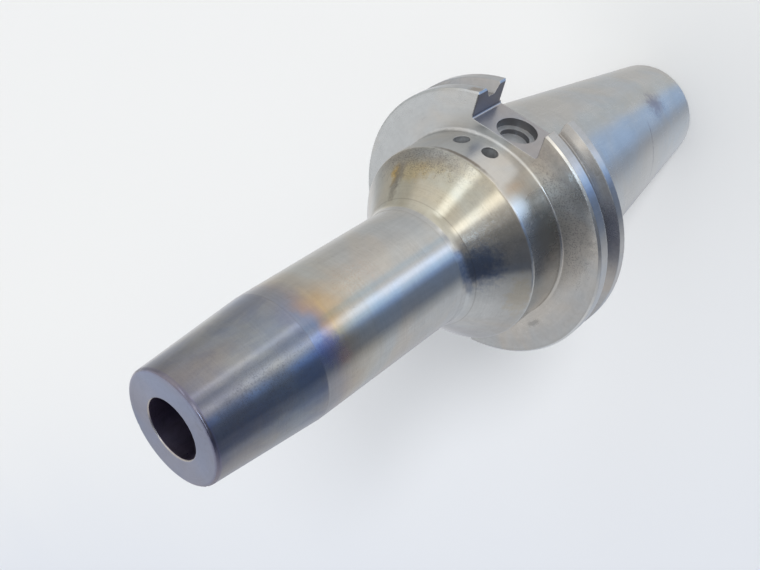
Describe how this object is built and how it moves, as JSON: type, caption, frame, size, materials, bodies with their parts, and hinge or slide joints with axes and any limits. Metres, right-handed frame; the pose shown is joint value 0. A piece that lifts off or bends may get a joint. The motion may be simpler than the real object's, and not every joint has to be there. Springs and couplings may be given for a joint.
{
  "type": "shrink fit holder",
  "caption": "Steel shrink fit tool holder: steep spindle taper, grooved drive flange, collar, flare and a slim bored nose that grips a cutter's shank when it cools.",
  "frame": {"origin": "centre of the taper at its gauge line, the plane that seats in the spindle", "axes": "+Z along the axis towards the nose, -Y out through the drive slot that holds the chip pocket"},
  "size_m": [0.0984, 0.0944, 0.254],
  "materials": {
    "tool_steel": "turned and ground steel, heat-tinted towards the nose"
  },
  "bodies": {
    "root": {"holder_body": "tool_steel"}
  },
  "joints": []
}
